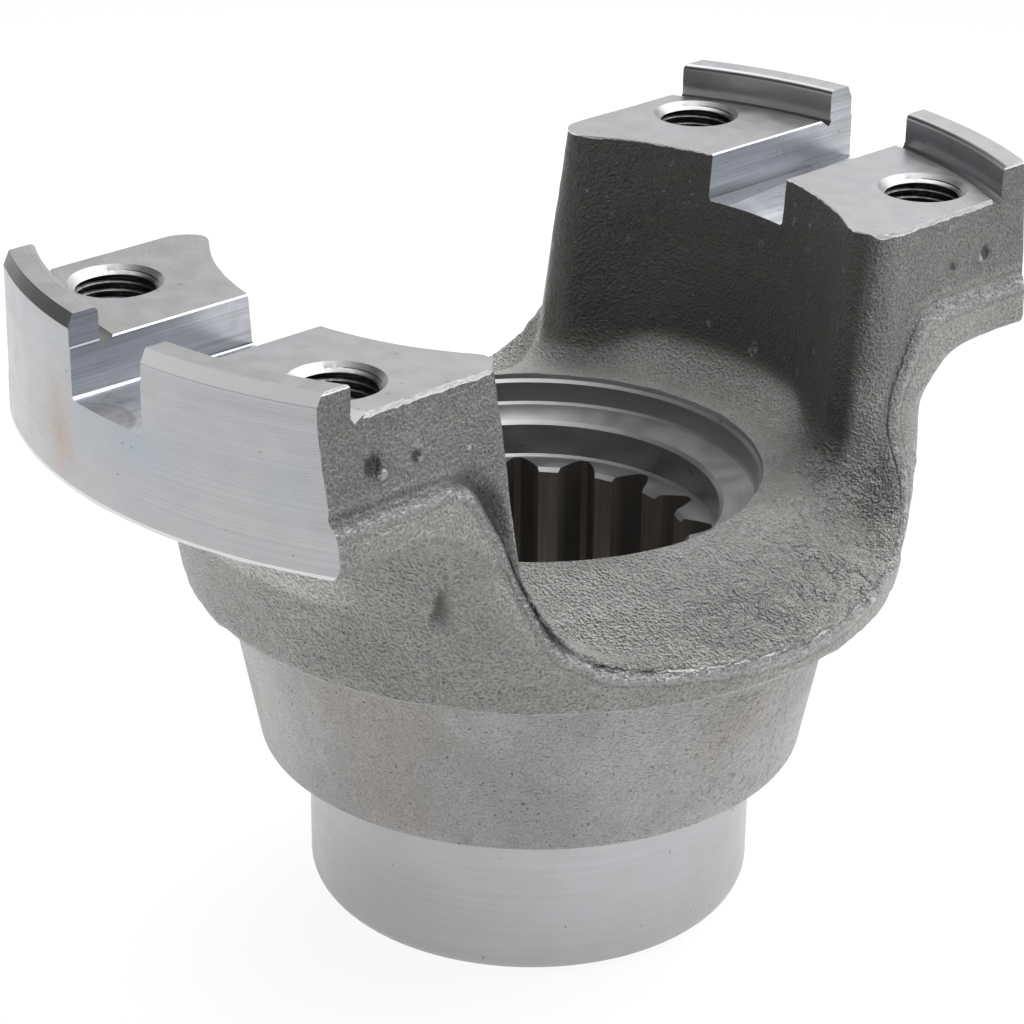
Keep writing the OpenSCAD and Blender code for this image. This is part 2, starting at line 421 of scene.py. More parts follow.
def skin_relief(p):
    """Coarse relief of the forged skin at points p, outward, mm."""
    wide = 0.16 * noise(p, scale=0.09, seed=1) + 0.09 * noise(p, scale=0.22, seed=2)
    pits = 0.06 * noise(p, scale=0.5, seed=3)
    rim = smooth(38, 52, radius_of(p)) * (1 - smooth(66, 72, p[:, 2]))
    scales = 0.30 * (1 - 2 * np.abs(noise(p, scale=0.19, seed=4))) * scaly_mask(p)
    ay = np.abs(p[:, 1])
    wedge = smooth(14, 24, ay) * (1 - smooth(43, 50, ay)) * (1 - 0.65 * smooth(0, 10, p[:, 1]))
    crease = -(0.25 + 1.25 * wedge) * (1 - smooth(0.2, 1.5 + 0.8 * wedge, crease_distance(p)))
    dents = np.zeros(len(p))
    for place, radius, depth in DENTS:
        off = np.linalg.norm(p - np.array(place), axis=1) / radius
        dents -= 0.8 * depth * (1 - smooth(0.2, 1.3, off))
    return wide + pits * (1 + rim) + scales + crease + dents


def add_masks(mesh):
    """Vertex values that the forged finish reads."""
    co = np.zeros(len(mesh.vertices) * 3)
    mesh.vertices.foreach_get("co", co)
    p = co.reshape(-1, 3) / MM
    x, y, z = p.T
    angle = angle_of(p)
    calm = smooth(-70, -110, angle) * (z < 92) * smooth(-175, -150, angle)
    near_bore = smooth(56, 46, radius_of(p)) * smooth(84, 78, z) * smooth(66, 67.5, z)
    drop = 4 * smooth(14, 26, np.abs(x))
    masks = {
        "seam": np.clip(seam_distance(p, outward(p)), -SEAM_FAR, SEAM_FAR),
        "scaly": scaly_mask(p),
        "calm": np.maximum(calm, 0.6 * near_bore),
        # walls between the ears: smoother skin, and painted shade in the finish
        "inner": smooth(73, 78, z + drop) * (np.abs(y) < 48.5) * smooth(35, 33, np.abs(x)),
    }
    for name, values in masks.items():
        layer = mesh.attributes.new(name, "FLOAT", "POINT")
        layer.data.foreach_set("value", values.astype(np.float32))


# Meshes

def new_object(name, verts, faces, face_slots):
    """Object from vertices in mm, faces and for each face its place in MATS."""
    mesh = bpy.data.meshes.new(name)
    mesh.from_pydata([tuple(v) for v in np.asarray(verts) * MM], [], [tuple(f) for f in faces])
    for material in MATS:
        mesh.materials.append(material)
    mesh.polygons.foreach_set("material_index", face_slots)
    mesh.update()
    obj = bpy.data.objects.new(name, mesh)
    bpy.context.scene.collection.objects.link(obj)
    return obj


def revolve(name, outline, slots, steps):
    """Closed solid of revolution. outline holds (r, z) from axis to axis, slots one number per side."""
    verts, rings = [], []
    for r, z in outline:
        if r < 1e-6:
            rings.append([len(verts)])
            verts.append((0, 0, z))
            continue
        rings.append(list(range(len(verts), len(verts) + steps)))
        for i in range(steps):
            a = 2 * math.pi * i / steps
            verts.append((r * math.cos(a), r * math.sin(a), z))
    faces, face_slots = [], []
    for low, high, s in zip(rings[:-1], rings[1:], slots):
        for i in range(steps):
            j = (i + 1) % steps
            if len(low) == 1:
                faces.append((low[0], high[j], high[i]))
            elif len(high) == 1:
                faces.append((low[i], low[j], high[0]))
            else:
                faces.append((low[i], low[j], high[j], high[i]))
            face_slots.append(s)
    return new_object(name, verts, faces, face_slots)


def prism(name, outline, z0, z1, slot, axis="z"):
    """Closed prism of a plane outline, given anticlockwise, along an axis."""
    n = len(outline)
    if axis == "z":
        verts = [(u, v, z0) for u, v in outline] + [(u, v, z1) for u, v in outline]
    else:
        verts = [(u, -z0, v) for u, v in outline] + [(u, -z1, v) for u, v in outline]
    faces = [tuple(reversed(range(n))), tuple(range(n, 2 * n))]
    faces += [(i, (i + 1) % n, n + (i + 1) % n, n + i) for i in range(n)]
    return new_object(name, verts, faces, [slot] * len(faces))


def arc(cx, cz, r, a0, a1, n):
    """Points of an arc around (cx, cz) from a0 to a1 degrees, in n steps."""
    angles = [math.radians(a0 + (a1 - a0) * i / n) for i in range(n + 1)]
    return [(cx + r * math.cos(a), cz + r * math.sin(a)) for a in angles]


def thread_cutter(name, cx, cy, z0, turns, slot, steps=44):
    """Helical screw form whose rows follow the thread, so its profile stays exact."""
    rows = [(k + f, r) for k in range(turns) for f, r in THREAD_FORM] + [(turns, THREAD_CREST_R)]
    period = len(THREAD_FORM)
    last = len(rows) - 1
    verts, faces, index = [], [], {}
    for k, (t, r) in enumerate(rows):
        for i in range(steps):
            a = 2 * math.pi * i / steps
            index[k, i] = len(verts)
            verts.append((cx + r * math.cos(a), cy + r * math.sin(a), z0 + THREAD_PITCH * (t + i / steps)))

    def at(k, i):
        return index[k, i] if i < steps else index.get((k + period, 0))

    for k in range(last):
        for i in range(steps):
            quad = (at(k, i), at(k, i + 1), at(k + 1, i + 1), at(k + 1, i))
            if None not in quad:
                faces.append(quad)

    # a cone closes each end of the helix
    low = len(verts)
    verts.append((cx, cy, z0 - THREAD_POINT))
    high = len(verts)
    verts.append((cx, cy, z0 + THREAD_PITCH * (turns + 1) + THREAD_POINT))
    loop_low = [index[0, i] for i in range(steps)] + [index[k, 0] for k in range(period, 0, -1)]
    loop_high = [index[k, steps - 1] for k in range(last - period, last)]
    loop_high += [index[last, i] for i in reversed(range(steps))]
    for loop, point in ((loop_low, low), (loop_high, high)):
        for a, b in zip(loop, loop[1:] + loop[:1]):
            faces.append((b, a, point))
    return new_object(name, verts, faces, [slot] * len(faces))


def cut(target, cutter, operation="DIFFERENCE"):
    """Applies a boolean and carries the cutter's materials onto the cut faces."""
    mod = target.modifiers.new("cut", "BOOLEAN")
    mod.operation = operation
    mod.object = cutter
    mod.solver = "MANIFOLD"
    mod.material_mode = "TRANSFER"
    graph = bpy.context.evaluated_depsgraph_get()
    made = bpy.data.meshes.new_from_object(target.evaluated_get(graph))
    target.modifiers.clear()
    old = target.data
    target.data = made
    bpy.data.meshes.remove(old)
    bpy.data.objects.remove(cutter)


# Materials

class Finish:
    """One procedural material. Lengths are in millimetres of object space."""

    def __init__(self, name):
        self.mat = bpy.data.materials.new(name)
        self.mat.use_nodes = True
        self.tree = self.mat.node_tree
        self.bsdf = self.tree.nodes["Principled BSDF"]
        coord = self.tree.nodes.new("ShaderNodeTexCoord")
        self.pos = self.vector("SCALE", coord.outputs["Object"], scale=1 / MM)
        split = self.node("ShaderNodeSeparateXYZ", self.pos)
        self.x, self.y, self.z = split.outputs

    def put(self, socket, value):
        if isinstance(value, bpy.types.NodeSocket):
            self.tree.links.new(value, socket)
        elif isinstance(value, tuple) and len(value) == 3 and len(socket.default_value) == 4:
            socket.default_value = (*value, 1)
        else:
            socket.default_value = value

    def node(self, kind, *values, **settings):
        made = self.tree.nodes.new(kind)
        for key, value in settings.items():
            setattr(made, key, value)
        for socket, value in zip(made.inputs, values):
            if value is not None:
                self.put(socket, value)
        return made

    def vector(self, operation, a, b=None, scale=None):
        made = self.node("ShaderNodeVectorMath", a, b, operation=operation)
        if scale is not None:
            self.put(made.inputs["Scale"], scale)
        return made.outputs["Value"] if operation in ("LENGTH", "DISTANCE") else made.outputs["Vector"]

    def op(self, operation, a, b=None, c=None):
        return self.node("ShaderNodeMath", a, b, c, operation=operation).outputs[0]

    def add(self, *parts):
        total = parts[0]
        for part in parts[1:]:
            total = self.op("ADD", total, part)
        return total

    def mul(self, *parts):
        total = parts[0]
        for part in parts[1:]:
            total = self.op("MULTIPLY", total, part)
        return total

    def ramp(self, value, lo, hi, out_lo=0.0, out_hi=1.0):
        """Smooth change from out_lo at lo to out_hi at hi."""
        made = self.node("ShaderNodeMapRange", interpolation_type="SMOOTHSTEP")
        keys = ("Value", "From Min", "From Max", "To Min", "To Max")
        for key, v in zip(keys, (value, lo, hi, out_lo, out_hi)):
            self.put(made.inputs[key], v)
        return made.outputs["Result"]

    def factor(self, mask, full):
        """1 where the mask is 0 and full where it is 1."""
        return self.ramp(mask, 0, 1, 1, full)

    def near(self, value, target, inner, outer, peak=1.0):
        """peak where value is within inner of target, 0 where it is beyond outer."""
        return self.ramp(self.op("ABSOLUTE", self.add(value, -target)), inner, outer, peak, 0)

    def stretch(self, sx, sy, sz):
        return self.vector("MULTIPLY", self.pos, (sx, sy, sz))

    def moved(self, x, y, z):
        return self.vector("ADD", self.pos, (x, y, z))

    def noise(self, scale, detail=2.0, rough=0.5, distort=0.0, at=None):
        made = self.node("ShaderNodeTexNoise")
        self.put(made.inputs["Vector"], at or self.pos)
        for key, v in (("Scale", scale), ("Detail", detail), ("Roughness", rough), ("Distortion", distort)):
            made.inputs[key].default_value = v
        return made.outputs["Fac"]

    def cells(self, scale):
        made = self.node("ShaderNodeTexVoronoi")
        self.put(made.inputs["Vector"], self.pos)
        made.inputs["Scale"].default_value = scale
        return made.outputs["Distance"]

    def mix(self, fac, a, b):
        made = self.node("ShaderNodeMix", data_type="RGBA")
        self.put(made.inputs[0], fac)
        self.put(made.inputs[6], a)
        self.put(made.inputs[7], b)
        return made.outputs[2]

    def mix_value(self, fac, a, b):
        made = self.node("ShaderNodeMix")
        self.put(made.inputs[0], fac)
        self.put(made.inputs[2], a)
        self.put(made.inputs[3], b)
        return made.outputs[0]

    def combine(self, x, y, z):
        return self.node("ShaderNodeCombineXYZ", x, y, z).outputs[0]

    def radius(self):
        return self.op("SQRT", self.add(self.mul(self.x, self.x), self.mul(self.y, self.y)))

    def attribute(self, name):
        return self.node("ShaderNodeAttribute", attribute_name=name).outputs["Fac"]

    def distance_to(self, point, at=None):
        return self.vector("DISTANCE", at or self.pos, point)

    def finish(self, color, rough, height, metallic=1.0):
        """height is the surface relief in mm."""
        self.put(self.bsdf.inputs["Base Color"], color)
        self.put(self.bsdf.inputs["Roughness"], rough)
        self.put(self.bsdf.inputs["Metallic"], metallic)
        bump = self.node("ShaderNodeBump")
        bump.inputs["Strength"].default_value = 1.0
        bump.inputs["Distance"].default_value = MM
        self.put(bump.inputs["Height"], height)
        self.put(self.bsdf.inputs["Normal"], bump.outputs["Normal"])
        return self.mat


class ForgedSkin(Finish):
    """The rough forging, with the values that its relief and its colours share."""

    DARK_TONE, LIGHT_TONE = (0.388, 0.384, 0.372), (0.458, 0.453, 0.440)
    BAND_TONE = (0.42, 0.42, 0.415)
    CALM_TONE = (0.37, 0.368, 0.362)
    # painted shade on the walls between the ears, where little light reaches
    INNER_SHADE_TONE = (0.088, 0.083, 0.076)
    PIT_TONE = (0.09, 0.088, 0.085)
    RIB_TOP_TONE = (0.68, 0.68, 0.68)
    SCUFF_TONE = (0.56, 0.56, 0.555)
    # painted shade in the crease
    CREASE_SHADE_TONE = (0.05, 0.05, 0.052)
    # painted shade in the dents and a painted highlight on the raised metal beside them
    DENT_TONE, RAISED_TONE = (0.09, 0.09, 0.09), (0.60, 0.60, 0.60)
    RIM_TONE = (0.66, 0.66, 0.66)
    # bare cut metal with a painted highlight on the machined edges
    CUT_METAL_HIGHLIGHT_TONE = (0.86, 0.86, 0.86)

    def __init__(self):
        super().__init__("forged_skin")
        self.seam = self.attribute("seam")
        self.scaly = self.attribute("scaly")
        self.calm = self.attribute("calm")
        self.inner = self.attribute("inner")
        self.ax = self.op("ABSOLUTE", self.x)
        self.dimples = self.cells(1.8)
        self.blast = self.noise(2.5, 2, 0.65)
        self.broad = self.noise(0.33, 2, 0.5)
        self.ribs = self.noise(1.25, 2, 0.62, 0.5, at=self.stretch(1, 0.6, 1.2))
        self.scab = self.noise(0.17, 4, 0.62, 0.5)
        self.rag = self.mul(self.add(self.noise(0.9, 2), -0.5), 1.1)
        self.amount = self.mul(self.factor(self.calm, 0.7), self.factor(self.inner, 0.45))
        self.on_rim = self.ramp(self.z, 68, 65)
        self.on_ledge = self.ramp(self.z, 90, 93)

        # the ribbed band below the crease, the crease itself and a fainter second one
        self.in_band = self.mul(self.ramp(self.seam, -3.0, -2.2), self.ramp(self.seam, -0.5, 0.3, 1, 0))
        wander = self.mul(self.add(self.broad, -0.5), self.on_rim, 4)
        self.valley = self.op("ABSOLUTE", self.add(self.seam, -0.1, wander))
        self.second = self.op("ABSOLUTE", self.add(self.seam, 2.4, self.mul(self.broad, 1.5)))

    def relief(self):
        """Relief of the skin in mm."""
        grain = self.add(self.mul(self.dimples, 0.6), self.mul(self.blast, 1.25))
        wrinkle = self.noise(0.55, 3, 0.62, 0.8)
        flake = self.ramp(self.scab, 0.47, 0.49, 0, 0.55)
        flakes = self.add(flake, self.ramp(self.scab, 0.54, 0.56, 0, 0.45))
        total = self.mul(self.add(grain, self.broad), self.amount)
        total = self.add(total, self.mul(self.ribs, self.in_band, 2.2))
        scale = self.add(self.mul(wrinkle, 2.4), flakes)
        total = self.add(total, self.mul(scale, self.add(self.scaly, 0.05)))
        groove = self.ramp(self.z, 90, 93, -0.45, -0.2)
        total = self.add(total, self.ramp(self.valley, 0.0, 0.7, groove, 0))
        total = self.add(total, self.ramp(self.second, 0.0, 0.4, -0.15, 0))
        for place, radius, depth in DENTS:
            off = self.add(self.distance_to(place), self.rag)
            total = self.add(total, self.ramp(off, radius * 0.55, radius, -1.1 * depth, 0))
        return total

    def base_color(self):
        """Broad tones: blotches, the ribbed band, the calm side and painted shade on the inner walls."""
        color = self.mix(self.ramp(self.noise(0.05, 2), 0.3, 0.7), self.DARK_TONE, self.LIGHT_TONE)
        color = self.mix(self.mul(self.in_band, 0.4), color, self.BAND_TONE)
        color = self.mix(self.mul(self.calm, 0.4), color, self.CALM_TONE)
        # painted shade on the inner walls between the ears
        return self.mix(self.mul(self.inner, 0.88), color, self.INNER_SHADE_TONE)

    def shaded(self, color):
        """Painted shade on the ear sides and the near saddle, a painted highlight on the arm foot, and the
        speckle of the blasting.
        """
        # painted shade on the ear sides above the crease
        ear_side_shade = self.mul(
            self.ramp(self.seam, 0.5, 2.5), self.ramp(self.ax, 33.5, 34.5), self.ramp(self.z, 80, 92))
        # painted shade on the near side of the saddle
        near_saddle_shade = self.mul(
            self.ramp(self.add(self.y, self.mul(self.x, -0.3)), -30, 10, 1, 0),
            self.ramp(self.seam, 0, 2), self.ramp(self.z, 75, 70))
        # painted highlight on the foot of the arms
        foot_highlight = self.mul(self.ramp(self.z, 80, 75), self.ramp(self.z, 69, 72), self.ramp(self.ax, 27, 12))
        shade = self.mul(self.factor(ear_side_shade, 0.66), self.factor(near_saddle_shade, 0.78))
        shade = self.mul(shade, self.factor(foot_highlight, 1.45))
        level = self.add(self.mul(self.dimples, 0.4), self.blast)
        speckle = self.ramp(level, 0.5, 0.9, 0.81, 1.17)
        shade = self.mul(shade, self.mix_value(self.amount, 1.0, speckle))
        return self.vector("SCALE", color, scale=shade)

    def flecked(self, color):
        """Pits, bright bits on the high ribs of the band, and scuffs."""
        pits = self.mul(self.ramp(self.noise(1.5, 1), 0.27, 0.33, 0.55, 0), self.amount)
        color = self.mix(pits, color, self.PIT_TONE)
        bits = self.mul(self.in_band, self.ramp(self.ribs, 0.54, 0.64, 0, 0.7))
        color = self.mix(bits, color, self.RIB_TOP_TONE)
        scuff = self.ramp(self.noise(0.28, 3, 0.72, at=self.moved(90, 0, 0)), 0.63, 0.70, 0, 0.35)
        return self.mix(scuff, color, self.SCUFF_TONE)

    def creased(self, color):
        """Painted shade in the crease, wider on the arms, and in the fainter second groove; dark edges of
        the scale.
        """
        # painted shade along the crease and the second groove
        wedge = self.mul(self.ramp(self.z, 65.5, 68.5, 0, 2.2), self.ramp(self.z, 93.5, 90))
        deepest = self.add(self.ramp(self.on_rim, 0, 1, 0.85, 0.6), self.mul(self.on_ledge, -0.35))
        width = self.add(self.ramp(self.on_rim, 0, 1, 1.1, 0.6), wedge, self.mul(self.on_ledge, 0.6))
        dark = self.ramp(self.valley, 0.1, width, deepest, 0)
        broken = self.ramp(self.broad, 0.4, 0.58, 0.4, 1.0)
        dark = self.mul(dark, self.mix_value(self.on_rim, 1.0, broken))
        far_arm = self.mul(self.ramp(self.y, 0, 10), self.ramp(self.z, 63, 67))
        dark = self.mul(dark, self.factor(far_arm, 0.4))
        dark = self.op("MAXIMUM", dark, self.ramp(self.second, 0.05, 0.4, 0.22, 0))
        scale_edges = self.mul(self.scaly, self.near(self.scab, 0.485, 0.004, 0.014, 0.6))
        return self.mix(self.op("MAXIMUM", dark, scale_edges), color, self.CREASE_SHADE_TONE)

    def dented(self, color):
        """Painted shade in the dents, a painted highlight on the metal raised beside them, and a broken
        bright line along the lower edge of the rim.
        """
        # painted shade in each dent and a painted highlight on the raised metal
        for place, radius, depth in DENTS:
            share, tone = (0.8, self.RAISED_TONE) if depth < 0 else (0.6, self.DENT_TONE)
            off = self.add(self.distance_to(place), self.rag)
            color = self.mix(self.ramp(off, radius * 0.7, radius * 0.95, share, 0), color, tone)
        # a broken bright line along the lower edge of the rim
        lower_rim = self.near(self.z, RIM_Z + 0.2, 0.1, 0.35, 0.4)
        brightened = self.ramp(self.broad, 0.35, 0.5, 0.2, 1)
        return self.mix(self.mul(lower_rim, brightened), color, self.RIM_TONE)

    def cut_edge(self):
        """Edge where the pads and lips were machined: bare cut metal, painted bright as a highlight."""
        ragged = self.ramp(self.noise(0.7, 2), 0.3, 0.7, -0.12, 0.12)
        width = self.add(self.ramp(self.ax, 33.0, 34.5, 0.25, 0.85), ragged)
        below = self.add(PAD_Z, self.mul(self.z, -1), self.mul(width, -1))
        on_pad = self.ramp(self.radius(), LIP_WALL_R - 1.5, LIP_WALL_R - 2)
        edge = self.mul(self.ramp(below, -0.06, 0.06, 1, 0), on_pad)
        return self.op("MAXIMUM", edge, self.ramp(self.z, LIP_TOP - 0.7, LIP_TOP - 0.4))


def forged_skin():
    m = ForgedSkin()
    edge = m.cut_edge()
    color = m.dented(m.creased(m.flecked(m.shaded(m.base_color()))))
    # bare cut metal with a painted highlight along the machined edges
    color = m.mix(edge, color, m.CUT_METAL_HIGHLIGHT_TONE)
    rough = m.op("SUBTRACT", 0.50, m.mul(edge, 0.12))
    return m.finish(color, rough, m.mul(m.relief(), m.factor(edge, 0.12)), metallic=0.8)


def machined(name, marks, color, tint, rough, contrast, depth, stains=0.25):
    """Bright cut steel with tool marks(m), a value of about 0.3 to 0.7 that is depth mm high."""
    m = Finish(name)
    line = marks(m)
    blotch = m.noise(0.07, 3, 0.6)
    c = m.mix(m.ramp(blotch, 0.4, 0.65, 0, stains), color, tint)
    c = m.vector("SCALE", c, scale=m.ramp(line, 0.3, 0.7, 1 - contrast, 1 + contrast))
    speck = m.ramp(m.noise(0.8, 0), 0.84, 0.86, 0, 0.6)
    c = m.mix(speck, c, (0.14, 0.13, 0.12))
    r = m.ramp(m.noise(0.25, 3), 0.3, 0.7, rough - 0.03, rough + 0.04)
    return m, c, r, m.mul(line, depth)


def pad_milled():
    m, c, r, height = machined(
        "pad_milled", lambda m: m.noise(1.0, 2, at=m.combine(m.mul(m.radius(), 2.6), 0, 0)),
        color=(0.315, 0.315, 0.32), tint=(0.335, 0.33, 0.323), rough=0.33, contrast=0.05, depth=0.004)
    pink = m.ramp(m.noise(0.11, 2), 0.5, 0.62, 0, 0.18)
    c = m.mix(pink, c, (0.345, 0.31, 0.32))
    blue = m.ramp(m.noise(0.09, 2, at=m.moved(40, 0, 0)), 0.52, 0.64, 0, 0.25)
    c = m.mix(blue, c, (0.29, 0.315, 0.36))
    return m.finish(c, r, height)


def key_milled():
    m, c, r, height = machined(
        "key_milled", lambda m: m.noise(1.0, 3, 0.65, at=m.stretch(4.2, 0.03, 4.2)),
        color=(0.52, 0.535, 0.57), tint=(0.44, 0.455, 0.495), rough=0.30, contrast=0.13, depth=0.012,
        stains=0.3)
    wide = m.noise(1.0, 2, 0.5, at=m.stretch(0.7, 0.02, 0.7))
    c = m.vector("SCALE", c, scale=m.ramp(wide, 0.35, 0.65, 0.88, 1.12))

    # round mark of the end mill
    floor_z = PAD_Z - KEY_DEPTH
    on_floor = m.ramp(m.z, floor_z + 0.3, floor_z + 0.1)
    swirl = m.distance_to(MILL_MARK, at=m.stretch(1, 1, 0))
    disc = m.mul(m.ramp(swirl, MILL_MARK_R + 0.1, MILL_MARK_R - 0.2), on_floor)
    c = m.mix(m.mul(disc, 0.55), c, (0.31, 0.30, 0.285))
    ring = m.mul(m.near(swirl, MILL_MARK_R, 0.1, 0.5), on_floor)
    inner = m.mul(m.near(swirl, MILL_MARK_INNER_R, 0.1, 0.4, 0.7), on_floor)
    c = m.mix(m.mul(m.add(ring, inner), 0.5), c, (0.56, 0.56, 0.57))

    # painted shade in the root corners and on the bevel across the lip
    root = m.near(m.z, floor_z + KEY_ROOT * 0.5, KEY_ROOT * 0.4, KEY_ROOT * 0.5, 0.5)
    bevel = m.near(m.z, PAD_Z - KEY_BEVEL * 0.5, KEY_BEVEL * 0.5, KEY_BEVEL * 0.8, 0.85)
    lip_bevel_shade = m.mul(m.ramp(m.radius(), LIP_WALL_R - 0.8, LIP_WALL_R - 0.4), bevel)
    c = m.mix(m.op("MAXIMUM", root, lip_bevel_shade), c, (0.12, 0.12, 0.13))
    return m.finish(c, r, height)


def ear_turned():
    def turning(m):
        wave = m.mul(m.op("SINE", m.mul(m.z, 2 * math.pi * 2.4)), 0.10)
        return m.add(m.noise(1.0, 3, 0.6, at=m.stretch(0.012, 0.012, 3.0)), wave)

    m, c, r, height = machined(
        "ear_turned", turning, color=(0.385, 0.387, 0.398), tint=(0.36, 0.361, 0.378), rough=0.31,
        contrast=0.07, depth=0.006, stains=0.6)
    c = m.mix(m.ramp(m.noise(0.09, 2, 0.5), 0.56, 0.68, 0, 0.25), c, (0.31, 0.36, 0.42))

    # a brown stain left on the near ear face and a blue one under the keyway, each stretched its own way
    ragged = m.mul(m.noise(0.5, 3), 6)
    brown = m.distance_to((-12.5, -78.2, 42.5), at=m.stretch(1, 1, 0.45))
    c = m.mix(m.ramp(m.add(brown, ragged), 3.0, 8.5, 0.5, 0), c, (0.36, 0.25, 0.18))
    blue = m.distance_to((3.2, -79, 98.8), at=m.stretch(0.5, 1, 1.0))
    c = m.mix(m.ramp(m.add(blue, ragged), 3.0, 9.0, 0.4, 0), c, (0.30, 0.37, 0.43))

    lower_edge = m.ramp(m.z, UNDER_Z + 0.35, UNDER_Z + 0.2)
    c = m.mix(lower_edge, c, (0.6, 0.6, 0.6))

    # the bevel of the lip has painted shade left of the keyway and a painted highlight right of it
    bevel_z = LIP_TOP - LIP_BEVEL_H
    bevel = m.ramp(m.z, bevel_z, bevel_z + 0.1)
    left_shade = m.ramp(m.x, -9, -6, 1, 0)
    brightened = m.mul(bevel, m.factor(left_shade, 0))
    c = m.mix(m.mul(bevel, left_shade, 0.9), c, (0.055, 0.054, 0.056))
    c = m.mix(brightened, c, (0.82, 0.82, 0.84))
    return m.finish(c, m.mix_value(brightened, r, 0.5), height, metallic=m.mix_value(brightened, 1.0, 0.3))


def bore_turned():
    m, c, r, height = machined(
        "bore_turned", lambda m: m.noise(1.0, 2, at=m.combine(m.mul(m.radius(), 3), 0, m.mul(m.z, 3))),
        color=(0.41, 0.41, 0.42), tint=(0.36, 0.36, 0.37), rough=0.40, contrast=0.05, depth=0.0005,
        stains=0.0)
    return m.finish(c, r, height)


def spline_cut():
    m = Finish("spline_cut")
    streak = m.noise(1.0, 3, 0.6, at=m.stretch(1.6, 1.6, 0.03))
    land = m.mix(m.ramp(streak, 0.3, 0.7), (0.195, 0.177, 0.158), (0.27, 0.25, 0.226))
    # painted shade in the grooves between the teeth
    groove_shade = m.ramp(m.radius(), SPLINE_TIP_R + 0.5, SPLINE_TIP_R + 2.2)
    c = m.mix(groove_shade, land, (0.14, 0.128, 0.116))
    return m.finish(c, 0.45, m.mul(streak, 0.01), metallic=0.6)


def thread_cut():
    m = Finish("thread_cut")
    streak = m.noise(1.0, 3, 0.6)
    c = m.mix(m.ramp(streak, 0.3, 0.7), (0.10, 0.10, 0.10), (0.22, 0.22, 0.22))
    sink = m.ramp(m.z, PAD_Z - 1.25, PAD_Z - 1.1)
    c = m.mix(sink, c, (0.36, 0.36, 0.36))
    return m.finish(c, 0.3, m.mul(streak, 0.01))


def hub_ground():
    m, c, r, height = machined(
        "hub_ground", lambda m: m.noise(1.0, 2, at=m.stretch(0.02, 0.02, 3.0)),
        color=(0.468, 0.464, 0.482), tint=(0.43, 0.425, 0.435), rough=0.34, contrast=0.03, depth=0.002,
        stains=0.5)
    return m.finish(c, r, height)


def collar_skin():
    m = Finish("collar_skin")
    dimples = m.cells(2.6)
    grain = m.noise(3.0, 2, 0.6)
    lump = m.noise(0.6, 3, 0.6)

    # broad tones and speckle
    c = m.mix(m.ramp(m.noise(0.055, 4, 0.6), 0.38, 0.62), (0.485, 0.483, 0.476), (0.415, 0.412, 0.404))
    warm = m.ramp(m.noise(0.04, 2, 0.5, at=m.moved(30, 0, 0)), 0.48, 0.66, 0, 0.6)
    c = m.mix(warm, c, (0.43, 0.40, 0.375))
    c = m.vector("SCALE", c, scale=m.ramp(m.add(m.mul(dimples, 0.4), grain), 0.5, 0.9, 0.88, 1.1))

    # pits, rust spots, scratches and faint upright streaks
    pits = m.ramp(m.noise(1.6, 1), 0.25, 0.31, 0.7, 0)
    c = m.mix(pits, c, (0.08, 0.076, 0.072))
    rust = m.ramp(m.noise(0.8, 0), 0.85, 0.87, 0, 0.5)
    c = m.mix(rust, c, (0.27, 0.18, 0.12))
    scratch = m.noise(1.0, 3, 0.6, 0.8, at=m.stretch(0.6, 0.6, 0.16))
    c = m.mix(m.ramp(scratch, 0.68, 0.72, 0, 0.5), c, (0.60, 0.60, 0.59))
    streak = m.noise(1.0, 2, 0.5, at=m.stretch(0.28, 0.28, 0.03))
    c = m.vector("SCALE", c, scale=m.ramp(streak, 0.35, 0.65, 0.98, 1.02))

    # the right side is eaten by larger holes
    side = m.ramp(m.add(m.mul(m.x, 0.68), m.mul(m.y, 0.73)), 10, 34)
    eaten = m.noise(0.75, 3, 0.6, at=m.moved(0, 70, 0))
    holes = m.mul(side, m.ramp(eaten, 0.36, 0.46, 0.35, 0))
    c = m.mix(holes, c, (0.14, 0.135, 0.125))
    height = m.add(m.mul(dimples, 0.25), m.mul(grain, 0.50), m.mul(lump, 0.45), m.mul(pits, -0.10))
    return m.finish(c, 0.48, m.add(height, m.mul(side, eaten, 1.3)), metallic=0.8)


MATS = [
    forged_skin(), pad_milled(), key_milled(), ear_turned(), thread_cut(),
    bore_turned(), spline_cut(), hub_ground(), collar_skin(),
]
SKIN, PAD, KEY, EAR, THREAD, BORE, SPLINE, HUB, COLLAR = range(len(MATS))


# Forging and machining

def rough_forging():
    """The forging as it leaves the dies, with its coarse skin."""
    count = np.ceil((STOCK_HIGH - STOCK_LOW) / VOXEL).astype(int)
    ticks = [low + VOXEL * np.arange(n) for low, n in zip(STOCK_LOW, count)]
    axes = np.meshgrid(*ticks, indexing="ij")
    field = forging_field(*axes)
    for low, high, place in zip(STOCK_LOW, STOCK_HIGH, axes):
        field = np.maximum(field, np.maximum(low + STOCK_MARGIN - place, place - high + STOCK_MARGIN))
    grid = openvdb.FloatGrid()
    grid.copyFromArray(field.astype(np.float32))
    verts, tris, quads = grid.convertToPolygons(0.0, 0.0)
    verts = verts.astype(float) * VOXEL + STOCK_LOW
    verts = verts + outward(verts) * skin_relief(verts)[:, None]
    faces = [tuple(reversed(f)) for f in itertools.chain(tris, quads)]
    return new_object("yoke_body", verts, faces, [SKIN] * len(faces))


